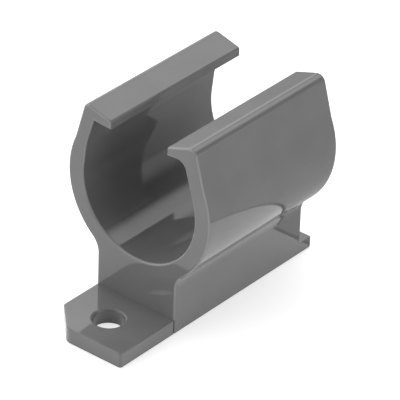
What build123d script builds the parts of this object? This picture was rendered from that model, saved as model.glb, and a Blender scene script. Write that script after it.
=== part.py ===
from build123d import *
import os
from math import cos, radians, sin, sqrt

# Open-topped conduit clamp, moulded in one piece.
# Frame: origin on the mounting face, at the axis of the screw hole.
# X runs across the clamp, Y along the conduit towards the rear, Z away from the wall.

# Seat for the conduit
conduit_dia = 20.0  # outside diameter of the conduit that the jaw holds
grip_clearance = 0.1  # radial gap between the conduit and the seat
seat_wall = 2.7  # wall of the round seat
seat_length = 28.6  # jaw and pedestal, from front face to rear face
axis_height = 19.6  # conduit axis above the mounting face

# Spring arms: they leave the round seat, then lean inwards from a soft knee.
# Angles are in degrees.
neck_angle = 24.0  # where an arm's outer face leaves the round seat, above the horizontal
neck_r = 3.0
arm_outer_lean = 15.5  # outer face of both arms, from upright
left_rise = 6.0  # inner face from seat to knee, from upright
right_rise = 15.0
left_lean = 17.0  # inner face above the knee, from upright
right_lean = 17.5
knee_height = 4.6  # above the conduit axis
knee_r = 8.0

# Lips that close over the conduit
left_lip_reach = 5.3  # left tip, measured from the middle of the mouth
right_lip_reach = 4.9  # right tip, measured from the middle of the mouth
left_lip_gap = 0.2  # gap between the conduit and the tip's lower edge
right_lip_gap = 0.02
left_tip_height = 1.3  # upright face at the tip
right_tip_height = 1.35
left_lip_slope = 15.5  # rise of the lip's top towards the arm
right_lip_slope = 18.5
lip_draft = 4.0  # rise of each lip's underside towards the arm
left_shoulder_r = 0.8  # outer corner of the left arm
right_shoulder_r = 1.3  # outer corner of the right arm
right_root_r = 1.6  # inner corner under the right lip, the left one is sharp
tip_r = 0.4  # upper edge of both tips, the lower one is sharp

# Pedestal
pedestal_width = 14.3  # also the width of the tab and the foot
throat_r = 3.2  # hollow where the round seat runs into the pedestal
rim_r = 0.35  # rounding of the outline on the front and rear faces

# Screw tab in front of the jaw
tab_length = 11.5
tab_thickness = 2.3
tab_cut = 4.35  # far left corner, cut off at 45 degrees
tab_front_r = 1.8  # where the cut corner meets the tab's end
tab_side_r = 0.4  # the tab's other corners
tab_edge_r = 0.25  # rounding around the tab's top
screw_hole_dia = 4.6
screw_hole_setback = 5.7  # hole axis in front of the jaw's front face
screw_rim_r = 0.35  # rounding of the hole's upper rim
score_depth = 0.15  # fine groove on each side, where the tab leaves the pedestal
score_width = 0.2

# Foot behind the pedestal
foot_length = 2.6
foot_thickness = 1.8
foot_edge_r = 0.35

# Worked out from the sizes above
seat_r = conduit_dia / 2 + grip_clearance
jaw_r = seat_r + seat_wall
front_y = screw_hole_setback
rear_y = front_y + seat_length
half_width = pedestal_width / 2
root_overlap = throat_r  # how far the tab and the foot run into the pedestal


def on_circle(radius, angle):
    """Point at an angle on a circle about the conduit axis, in the profile plane."""
    return Vector(radius * cos(radians(angle)), axis_height + radius * sin(radians(angle)))


def crossing(start, start_angle, other, other_angle):
    """Where the line through start meets the line through other, both at angles in degrees."""
    start_dir = Vector(cos(radians(start_angle)), sin(radians(start_angle)))
    other_dir = Vector(cos(radians(other_angle)), sin(radians(other_angle)))
    gap = other - start
    travel = gap.cross(other_dir).Z / start_dir.cross(other_dir).Z
    return start + start_dir * travel


def arm_points(reach, gap, tip_height, rise, lean, slope):
    """Corners and tangent points of a right-hand arm and its lip, as a dictionary."""
    tip_low = Vector(reach, axis_height + sqrt((conduit_dia / 2 + gap) ** 2 - reach**2))
    tip_top = tip_low + Vector(0, tip_height)
    inner_start = on_circle(seat_r, rise)
    knee = crossing(inner_start, 90 + rise, Vector(0, axis_height + knee_height), 0)
    neck = on_circle(jaw_r, neck_angle)
    return {
        "tip_low": tip_low,
        "tip_top": tip_top,
        "inner_start": inner_start,
        "knee": knee,
        "root": crossing(knee, 90 + lean, tip_low, lip_draft),
        "neck": neck,
        "shoulder": crossing(neck, 90 + arm_outer_lean, tip_top, slope),
    }


def mirrored(points):
    """The same points on the left-hand side."""
    return {name: Vector(-point.X, point.Y) for name, point in points.items()}


right = arm_points(
    right_lip_reach, right_lip_gap, right_tip_height, right_rise, right_lean, right_lip_slope
)
left = mirrored(
    arm_points(left_lip_reach, left_lip_gap, left_tip_height, left_rise, left_lean, left_lip_slope)
)

# Outline of jaw and pedestal, looking at the front face
with BuildSketch(Plane.XZ.offset(-front_y)) as profile:
    # Everything inside the outer faces
    with BuildLine():
        FilletPolyline(
            left["neck"],
            left["shoulder"],
            left["tip_top"],
            right["tip_top"],
            right["shoulder"],
            right["neck"],
            radius=(left_shoulder_r, 0, 0, right_shoulder_r),
        )
        ThreePointArc(right["neck"], (0, axis_height - jaw_r), left["neck"])
    make_face()
    necks = profile.vertices().filter_by_position(Axis.Y, axis_height, axis_height + jaw_r / 2)
    fillet(necks, neck_r)
    with Locations((0, axis_height / 2)):
        Rectangle(pedestal_width, axis_height)
    throat = profile.vertices().filter_by_position(Axis.Y, foot_thickness, axis_height - jaw_r / 2)
    fillet(throat, throat_r)

    # The way through for the conduit
    with BuildLine():
        FilletPolyline(
            left["inner_start"],
            left["knee"],
            left["root"],
            left["tip_low"],
            right["tip_low"],
            right["root"],
            right["knee"],
            right["inner_start"],
            radius=(knee_r, 0, 0, 0, right_root_r, knee_r),
        )
        ThreePointArc(right["inner_start"], (0, axis_height - seat_r), left["inner_start"])
    make_face(mode=Mode.SUBTRACT)

    # The mouth between the tips
    with BuildLine():
        Polyline(
            left["tip_low"],
            left["tip_top"] + Vector(0, jaw_r),
            right["tip_top"] + Vector(0, jaw_r),
            right["tip_low"],
            close=True,
        )
    make_face(mode=Mode.SUBTRACT)
    tips = profile.vertices().filter_by_position(Axis.X, left["tip_low"].X, right["tip_low"].X)
    fillet(tips.sort_by(Axis.Y)[-2:], tip_r)

# Jaw and pedestal, with the outline rounded at both ends
with BuildPart() as jaw:
    extrude(profile.sketch, amount=-seat_length)
    end_faces = jaw.faces().filter_by(Axis.Y).sort_by(Axis.Y)
    rims = end_faces[0].edges() + end_faces[-1].edges()
    fillet(rims.filter_by_position(Axis.Z, tab_edge_r, axis_height + 2 * jaw_r), rim_r)

# Screw tab, with one corner cut off
with BuildPart() as tab:
    tab_end = front_y - tab_length
    with BuildSketch():
        with BuildLine():
            FilletPolyline(
                (-half_width, front_y + root_overlap),
                (-half_width, tab_end + tab_cut),
                (-half_width + tab_cut, tab_end),
                (half_width, tab_end),
                (half_width, front_y + root_overlap),
                radius=(0, tab_side_r, tab_front_r, tab_side_r, 0),
                close=True,
            )
        make_face()
    extrude(amount=tab_thickness)
    top_rim = tab.faces().sort_by(Axis.Z)[-1].edges()
    fillet(top_rim.filter_by_position(Axis.Y, tab_end, front_y), tab_edge_r)
    Hole(screw_hole_dia / 2)
    hole_rim = tab.faces().sort_by(Axis.Z)[-1].inner_wires()[0].edges()
    fillet(hole_rim, screw_rim_r)

# Foot behind the pedestal
with BuildPart() as foot:
    with BuildSketch():
        with Locations((0, rear_y - root_overlap)):
            Rectangle(pedestal_width, root_overlap + foot_length, align=(Align.CENTER, Align.MIN))
    extrude(amount=foot_thickness)
    fillet(foot.faces().sort_by(Axis.Y)[-1].edges(), foot_edge_r)

# The whole clamp
with BuildPart() as conduit_clamp:
    add(jaw.part)
    add(tab.part)
    add(foot.part)
    for side in (-1, 1):
        with BuildSketch():
            with Locations((side * half_width, front_y)):
                Rectangle(2 * score_depth, score_width)
        extrude(amount=tab_thickness, mode=Mode.SUBTRACT)

conduit_clamp.part.label = "conduit_clamp"
os.makedirs("parts", exist_ok=True)
export_step(conduit_clamp.part, "parts/conduit_clamp.step")
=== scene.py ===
"""Looks of the conduit clamp: its moulded plastic, a pale stage, soft light and the camera."""

from math import cos, radians, sin

import bpy
from bpy.props import FloatProperty, FloatVectorProperty, PointerProperty
from bpy.types import Operator, Panel, PropertyGroup
from mathutils import Matrix, Vector


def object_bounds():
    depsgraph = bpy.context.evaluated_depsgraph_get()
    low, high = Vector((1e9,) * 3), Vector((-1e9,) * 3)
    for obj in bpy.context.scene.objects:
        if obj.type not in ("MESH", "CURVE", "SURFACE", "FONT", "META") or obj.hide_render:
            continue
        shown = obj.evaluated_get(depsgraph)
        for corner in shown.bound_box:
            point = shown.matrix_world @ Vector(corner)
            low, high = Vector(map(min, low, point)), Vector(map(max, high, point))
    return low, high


bl_info = {
    "name": "Conduit clamp looks",
    "version": (1, 0, 0),
    "blender": (4, 5, 0),
    "location": "View3D > Sidebar > Clamp",
    "description": "Finishes a moulded conduit clamp and builds its stage, light and camera",
    "category": "Object",
}

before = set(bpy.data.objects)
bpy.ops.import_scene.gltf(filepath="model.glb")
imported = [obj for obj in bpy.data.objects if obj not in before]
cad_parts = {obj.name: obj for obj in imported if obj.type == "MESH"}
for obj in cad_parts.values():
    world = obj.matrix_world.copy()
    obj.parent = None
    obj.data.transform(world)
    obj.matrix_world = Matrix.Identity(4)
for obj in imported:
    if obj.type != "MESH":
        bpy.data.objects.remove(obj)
CAD_LOW, CAD_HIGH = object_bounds()
CLAMP = "conduit_clamp"

WHITE = (1.0, 1.0, 1.0, 1.0)
FULL = (0.0, 1.0)  # a whole range

# Lengths in metres
JAW_FRONT = 0.0057  # Y of the jaw's front face
RIM_HIGHLIGHT_MARGIN = 0.0002  # how far in front of that face the painted rim highlight may start
STAGE_REACH = 3.0  # from the clamp to the end of the floor
SHEET_EDGE = 0.0008  # width of the sheet's dark edge behind the clamp
FLOOR_DROP = 0.00005  # gap between the clamp and the floor
CLIP_NEAR = 0.05  # nearest and farthest that the camera sees
CLIP_FAR = 10.0

SENSOR_WIDTH = 36.0  # of the camera, in millimetres

# The middle part of each noise, which is stretched over the whole range
CLOUD_RANGE = (0.35, 0.65)
PATCH_RANGE = (0.3, 0.7)

# How many finer layers each noise has
CLOUD_DETAIL = 4.0
PATCH_DETAIL = 3.0
GRAIN_DETAIL = 2.0
WAVE_DETAIL = 0.0

# Where the painted highlight on a rim starts and where it is strongest. The measure is 0 on the
# faces beside the rim and 0.25 half way round it.
RIM_HIGHLIGHT_TURN = (0.02, 0.2)

# Numbers of a Mix node's sockets for colours, whose names are also those of its other sockets
MIX_FACTOR, MIX_FIRST, MIX_SECOND, MIX_RESULT = 0, 6, 7, 2

# Soft lights at infinity: azimuth from the clamp's front towards its right and elevation above
# the floor, then the angles from a light's middle to where it starts to fade and where it ends.
# All are in degrees.
SOFT_LIGHTS = {
    "key": (-112, 34, 12, 42),
    "right": (101, 8, 18, 40),
    "overhead": (-30, 80, 24, 42),
    "front_left": (-38, 6, 18, 45),
    "rear": (180, 50, 7, 23),
}


class PlasticSettings(PropertyGroup):
    """Finish of the moulded plastic."""

    colour: FloatVectorProperty(
        name="Colour",
        description="Body colour of the plastic",
        subtype="COLOR",
        min=0.0,
        max=1.0,
        default=(0.2, 0.203, 0.2),
    )
    cloud_colour: FloatVectorProperty(
        name="Cloud colour",
        description="Colour of the faint clouds in the plastic",
        subtype="COLOR",
        min=0.0,
        max=1.0,
        default=(0.215, 0.218, 0.215),
    )
    # Painted highlight: a paler colour along the jaw's rounded rims, standing in for the light
    # they catch
    rim_highlight_colour: FloatVectorProperty(
        name="Rim colour",
        description="Paler colour along the rounded rims of the jaw",
        subtype="COLOR",
        min=0.0,
        max=1.0,
        default=(0.32, 0.325, 0.32),
    )
    cloud_size: FloatProperty(
        name="Cloud size",
        description="Typical width of the faint clouds",
        unit="LENGTH",
        min=0.0001,
        default=0.006,
    )
    roughness: FloatProperty(
        name="Roughness",
        description="Roughness where the mould was polished best",
        subtype="FACTOR",
        min=0.0,
        max=1.0,
        default=0.045,
    )
    dull_roughness: FloatProperty(
        name="Dull roughness",
        description="Roughness of the duller patches",
        subtype="FACTOR",
        min=0.0,
        max=1.0,
        default=0.085,
    )
    ior: FloatProperty(
        name="Index of refraction",
        description="Sets how strongly the plastic mirrors its surroundings",
        min=1.0,
        default=1.5,
    )
    grain_size: FloatProperty(
        name="Grain size",
        description="Width of the fine grain of the mould face",
        unit="LENGTH",
        min=0.00001,
        default=0.0004,
    )
    grain_height: FloatProperty(
        name="Grain height",
        description="Height of the fine grain",
        unit="LENGTH",
        min=0.0,
        default=0.0000004,
    )
    wave_size: FloatProperty(
        name="Wave size",
        description="Width of the shallow waves left by shrinkage, and of the duller patches",
        unit="LENGTH",
        min=0.0001,
        default=0.005,
    )
    wave_height: FloatProperty(
        name="Wave height",
        description="Height of the shallow waves",
        unit="LENGTH",
        min=0.0,
        default=0.000015,
    )


class StageSettings(PropertyGroup):
    """Floor and soft lights."""

    sheet_colour: FloatVectorProperty(
        name="Sheet",
        description="Colour of the white sheet under the clamp",
        subtype="COLOR",
        min=0.0,
        max=1.0,
        default=(0.9, 0.9, 0.9),
    )
    edge_colour: FloatVectorProperty(
        name="Sheet's edge",
        description="Colour of the sheet's edge, seen in reflections only",
        subtype="COLOR",
        min=0.0,
        max=1.0,
        default=(0.06, 0.06, 0.06),
    )
    table_colour: FloatVectorProperty(
        name="Table",
        description="Colour of the table behind the sheet, seen in reflections only",
        subtype="COLOR",
        min=0.0,
        max=1.0,
        default=(0.75, 0.75, 0.75),
    )
    sheet_glow: FloatProperty(
        name="Sheet glow",
        description="Light added to the floor for the camera and for reflections",
        min=0.0,
        default=0.6,
    )
    fill: FloatProperty(
        name="Fill",
        description="Strength of the surroundings between the soft lights",
        min=0.0,
        default=0.0,
    )
    key: FloatProperty(
        name="Key light",
        description="Strength of the soft light from the rear left",
        min=0.0,
        default=2.0,
    )
    right: FloatProperty(
        name="Right light",
        description="Strength of the low soft light from the right",
        min=0.0,
        default=2.1,
    )
    overhead: FloatProperty(
        name="Overhead light",
        description="Strength of the soft light from above",
        min=0.0,
        default=0.68,
    )
    front_left: FloatProperty(
        name="Front left light",
        description="Strength of the low soft light from the front left",
        min=0.0,
        default=1.9,
    )
    rear: FloatProperty(
        name="Rear light",
        description="Strength of the high soft light from behind",
        min=0.0,
        default=2.1,
    )


class CameraSettings(PropertyGroup):
    """Where the camera stands."""

    azimuth: FloatProperty(
        name="Azimuth",
        description="Angle of the camera round the clamp, from its front towards its right",
        subtype="ANGLE",
        default=radians(38.52),
    )
    elevation: FloatProperty(
        name="Elevation",
        description="Angle of the camera above the floor",
        subtype="ANGLE",
        default=radians(31.74),
    )
    roll: FloatProperty(
        name="Roll",
        description="Turn of the camera about its line of sight",
        subtype="ANGLE",
        default=radians(2.01),
    )
    distance: FloatProperty(
        name="Distance",
        description="From the aim point to the camera",
        unit="LENGTH",
        default=0.5314,
    )
    aim: FloatVectorProperty(
        name="Aim point",
        description="Point at the middle of the picture",
        subtype="TRANSLATION",
        unit="LENGTH",
        default=(0.006775, 0.01106, 0.01956),
    )
    lens: FloatProperty(
        name="Focal length",
        description="Focal length for a sensor 36 mm wide",
        unit="CAMERA",
        default=344.6,
    )


def heading(azimuth, elevation):
    """Unit vector from the clamp towards a place round it, both angles in radians."""
    level = cos(elevation)
    return Vector((sin(azimuth) * level, -cos(azimuth) * level, sin(elevation)))


def node_tree(data):
    """The emptied node tree of a material or world."""
    data.use_nodes = True
    data.node_tree.nodes.clear()
    return data.node_tree


def add_node(tree, kind, **inputs):
    """A new node with values on its named sockets."""
    node = tree.nodes.new(kind)
    for name, value in inputs.items():
        node.inputs[name.replace("_", " ")].default_value = value
    return node


def feed(tree, value, socket):
    """Set a socket to a value, or link it where the value is itself a socket."""
    if isinstance(value, bpy.types.NodeSocket):
        tree.links.new(value, socket)
    else:
        socket.default_value = value


def opaque(colour):
    """A colour with the fourth number that colour sockets want."""
    return (*colour, 1.0)


def noise(tree, place, size, detail):
    """Noise whose lumps have a given width in metres."""
    node = add_node(tree, "ShaderNodeTexNoise", Scale=1.0 / size, Detail=detail)
    tree.links.new(place, node.inputs["Vector"])
    return node.outputs["Fac"]


def map_range(tree, value, source, target, interpolation="LINEAR"):
    """A value carried from one range to another, each given by its two ends."""
    node = add_node(
        tree,
        "ShaderNodeMapRange",
        From_Min=source[0],
        From_Max=source[1],
        To_Min=target[0],
        To_Max=target[1],
    )
    node.interpolation_type = interpolation
    tree.links.new(value, node.inputs["Value"])
    return node.outputs["Result"]


def mixed_colour(tree, first, second, factor):
    """A colour on a factor's way from a first to a second, each a colour or a socket."""
    node = add_node(tree, "ShaderNodeMix")
    node.data_type = "RGBA"
    feed(tree, first, node.inputs[MIX_FIRST])
    feed(tree, second, node.inputs[MIX_SECOND])
    tree.links.new(factor, node.inputs[MIX_FACTOR])
    return node.outputs[MIX_RESULT]


def bump(tree, height, depth, normal=None):
    """Normals bent by a height between 0 and 1 that stands for a depth in metres."""
    node = add_node(tree, "ShaderNodeBump", Strength=1.0, Distance=depth)
    tree.links.new(height, node.inputs["Height"])
    if normal is not None:
        tree.links.new(normal, node.inputs["Normal"])
    return node.outputs["Normal"]


def calculate(tree, operation, first, second):
    """Result of a sum between two values, each a socket or a number."""
    node = tree.nodes.new("ShaderNodeMath")
    node.operation = operation
    for value, socket in zip((first, second), node.inputs):
        feed(tree, value, socket)
    return node.outputs["Value"]


def rim_highlight_mask(tree, place):
    """Where a highlight is painted: one on the rounded rims of the jaw's front and rear faces,
    fading to nothing beside them.

    There the normal turns from along the conduit to across it.
    """
    surface = add_node(tree, "ShaderNodeNewGeometry")
    normal = add_node(tree, "ShaderNodeSeparateXYZ")
    tree.links.new(surface.outputs["Normal"], normal.inputs["Vector"])
    along = calculate(tree, "MULTIPLY", normal.outputs["Y"], normal.outputs["Y"])
    across = calculate(tree, "SUBTRACT", 1.0, along)
    turn = calculate(tree, "MULTIPLY", along, across)
    rims = map_range(tree, turn, RIM_HIGHLIGHT_TURN, FULL)
    position = add_node(tree, "ShaderNodeSeparateXYZ")
    tree.links.new(place, position.inputs["Vector"])
    jaw = calculate(tree, "GREATER_THAN", position.outputs["Y"], JAW_FRONT - RIM_HIGHLIGHT_MARGIN)
    return calculate(tree, "MULTIPLY", rims, jaw)


def moulded_plastic(settings):
    """Polished grey plastic, faintly clouded, with a fine grain, shallow waves and a painted
    highlight on the jaw's rims.
    """
    material = bpy.data.materials.new("moulded_plastic")
    tree = node_tree(material)
    link = tree.links.new
    output = add_node(tree, "ShaderNodeOutputMaterial")
    shader = add_node(tree, "ShaderNodeBsdfPrincipled", IOR=settings.ior)
    place = add_node(tree, "ShaderNodeTexCoord").outputs["Object"]

    clouds = noise(tree, place, settings.cloud_size, CLOUD_DETAIL)
    clouds = map_range(tree, clouds, CLOUD_RANGE, FULL)
    tint = mixed_colour(tree, opaque(settings.colour), opaque(settings.cloud_colour), clouds)
    # Painted highlight: a paler colour along the jaw's rounded rims
    tint = mixed_colour(tree, tint, opaque(settings.rim_highlight_colour), rim_highlight_mask(tree, place))
    link(tint, shader.inputs["Base Color"])

    patches = noise(tree, place, settings.wave_size, PATCH_DETAIL)
    polish = (settings.roughness, settings.dull_roughness)
    link(map_range(tree, patches, PATCH_RANGE, polish), shader.inputs["Roughness"])

    waves = noise(tree, place, settings.wave_size, WAVE_DETAIL)
    waves = bump(tree, waves, settings.wave_height)
    grain = noise(tree, place, settings.grain_size, GRAIN_DETAIL)
    link(bump(tree, grain, settings.grain_height, waves), shader.inputs["Normal"])
    link(shader.outputs["BSDF"], output.inputs["Surface"])
    return material


class CLAMP_OT_finish_plastic(Operator):
    """Give the clamp its moulded plastic"""

    bl_idname = "clamp.finish_plastic"
    bl_label = "Finish the plastic"

    def execute(self, context):
        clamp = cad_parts[CLAMP]
        material = moulded_plastic(context.scene.clamp_plastic)
        for slot in clamp.material_slots:
            slot.material = material
        return {"FINISHED"}


def floor_material(name, settings, mirrored_colour=None):
    """Matt floor with a glow for the camera and for reflections, so that it shows as white.

    A floor with a mirrored colour has the glow for the camera only, and shows that colour to
    everything else.
    """
    material = bpy.data.materials.new(name)
    tree = node_tree(material)
    link = tree.links.new
    colour = opaque(settings.sheet_colour)
    output = add_node(tree, "ShaderNodeOutputMaterial")
    matt = add_node(tree, "ShaderNodeBsdfDiffuse", Color=colour)
    glow = add_node(tree, "ShaderNodeEmission")
    rays = add_node(tree, "ShaderNodeLightPath").outputs
    seen = rays["Is Camera Ray"]
    if mirrored_colour is None:
        seen = calculate(tree, "MAXIMUM", seen, rays["Is Glossy Ray"])
        seen = calculate(tree, "MAXIMUM", seen, rays["Is Transmission Ray"])
    else:
        link(mixed_colour(tree, opaque(mirrored_colour), colour, seen), matt.inputs["Color"])
    link(map_range(tree, seen, FULL, (0.0, settings.sheet_glow)), glow.inputs["Strength"])
    both = add_node(tree, "ShaderNodeAddShader")
    link(matt.outputs["BSDF"], both.inputs[0])
    link(glow.outputs["Emission"], both.inputs[1])
    link(both.outputs["Shader"], output.inputs["Surface"])
    return material


def ground_plate(name, front, rear, height, material):
    """A strip of the floor over the stage's full width, between two places along Y."""
    left, right = -STAGE_REACH, STAGE_REACH
    corners = [(left, front), (right, front), (right, rear), (left, rear)]
    mesh = bpy.data.meshes.new(name)
    mesh.from_pydata([(x, y, height) for x, y in corners], [], [(0, 1, 2, 3)])
    mesh.materials.append(material)
    plate = bpy.data.objects.new(name, mesh)
    bpy.context.collection.objects.link(plate)


def surroundings(settings):
    """World that is white to the camera and lights the clamp with soft lights."""
    world = bpy.data.worlds.new("surroundings")
    tree = node_tree(world)
    link = tree.links.new
    output = add_node(tree, "ShaderNodeOutputWorld")
    outwards = add_node(tree, "ShaderNodeTexCoord").outputs["Generated"]
    total = settings.fill
    for name, (azimuth, elevation, core, end) in SOFT_LIGHTS.items():
        towards = tree.nodes.new("ShaderNodeVectorMath")
        towards.operation = "DOT_PRODUCT"
        towards.inputs[1].default_value = heading(radians(azimuth), radians(elevation))
        link(outwards, towards.inputs[0])
        spread = (cos(radians(end)), cos(radians(core)))
        strength = (0.0, getattr(settings, name))
        fade = map_range(tree, towards.outputs["Value"], spread, strength, "SMOOTHSTEP")
        total = calculate(tree, "ADD", fade, total)
    light = add_node(tree, "ShaderNodeBackground", Color=WHITE)
    white = add_node(tree, "ShaderNodeBackground", Color=WHITE, Strength=1.0)
    link(total, light.inputs["Strength"])
    rays = add_node(tree, "ShaderNodeLightPath")
    mix = add_node(tree, "ShaderNodeMixShader")
    link(rays.outputs["Is Camera Ray"], mix.inputs["Fac"])
    link(light.outputs["Background"], mix.inputs[1])
    link(white.outputs["Background"], mix.inputs[2])
    link(mix.outputs["Shader"], output.inputs["Surface"])
    bpy.context.scene.world = world


class CLAMP_OT_build_stage(Operator):
    """Lay the floor and light the clamp"""

    bl_idname = "clamp.build_stage"
    bl_label = "Build the stage"

    def execute(self, context):
        settings = context.scene.clamp_stage
        sheet_end = CAD_HIGH.y
        edge_end = sheet_end + SHEET_EDGE
        floor = CAD_LOW.z - FLOOR_DROP
        sheet = floor_material("white_sheet", settings)
        edge = floor_material("sheet_edge", settings, settings.edge_colour)
        table = floor_material("table", settings, settings.table_colour)
        ground_plate("sheet", -STAGE_REACH, sheet_end, floor, sheet)
        ground_plate("edge", sheet_end, edge_end, floor, edge)
        ground_plate("table", edge_end, STAGE_REACH, floor, table)
        surroundings(settings)
        return {"FINISHED"}


class CLAMP_OT_place_camera(Operator):
    """Place the camera in front of the clamp, to its right"""

    bl_idname = "clamp.place_camera"
    bl_label = "Place the camera"

    def execute(self, context):
        scene = context.scene
        settings = scene.clamp_camera
        azimuth, elevation = settings.azimuth, settings.elevation
        back = heading(azimuth, elevation)
        level = Vector((cos(azimuth), sin(azimuth), 0.0))
        upright = back.cross(level)
        right = cos(settings.roll) * level + sin(settings.roll) * upright
        up = back.cross(right)
        data = bpy.data.cameras.new("camera")
        data.lens = settings.lens
        data.sensor_width = SENSOR_WIDTH
        data.clip_start = CLIP_NEAR
        data.clip_end = CLIP_FAR
        camera = bpy.data.objects.new("camera", data)
        turn = Matrix((right, up, back)).transposed().to_4x4()
        place = Vector(settings.aim) + back * settings.distance
        camera.matrix_world = Matrix.Translation(place) @ turn
        scene.collection.objects.link(camera)
        scene.camera = camera
        scene.view_settings.view_transform = "Standard"
        return {"FINISHED"}


class CLAMP_PT_looks(Panel):
    """Sizes and colours of the clamp's looks"""

    bl_idname = "CLAMP_PT_looks"
    bl_label = "Conduit clamp"
    bl_space_type = "VIEW_3D"
    bl_region_type = "UI"
    bl_category = "Clamp"

    def draw(self, context):
        scene = context.scene
        for settings, operator in (
            (scene.clamp_plastic, CLAMP_OT_finish_plastic),
            (scene.clamp_stage, CLAMP_OT_build_stage),
            (scene.clamp_camera, CLAMP_OT_place_camera),
        ):
            box = self.layout.box()
            for name in settings.__annotations__:
                box.prop(settings, name)
            box.operator(operator.bl_idname)


CLASSES = (
    PlasticSettings,
    StageSettings,
    CameraSettings,
    CLAMP_OT_finish_plastic,
    CLAMP_OT_build_stage,
    CLAMP_OT_place_camera,
    CLAMP_PT_looks,
)


def register():
    for cls in CLASSES:
        bpy.utils.register_class(cls)
    bpy.types.Scene.clamp_plastic = PointerProperty(type=PlasticSettings)
    bpy.types.Scene.clamp_stage = PointerProperty(type=StageSettings)
    bpy.types.Scene.clamp_camera = PointerProperty(type=CameraSettings)


def unregister():
    del bpy.types.Scene.clamp_camera
    del bpy.types.Scene.clamp_stage
    del bpy.types.Scene.clamp_plastic
    for cls in reversed(CLASSES):
        bpy.utils.unregister_class(cls)


def main():
    register()
    bpy.ops.clamp.finish_plastic()
    bpy.ops.clamp.build_stage()
    bpy.ops.clamp.place_camera()


if __name__ == "__main__":
    main()
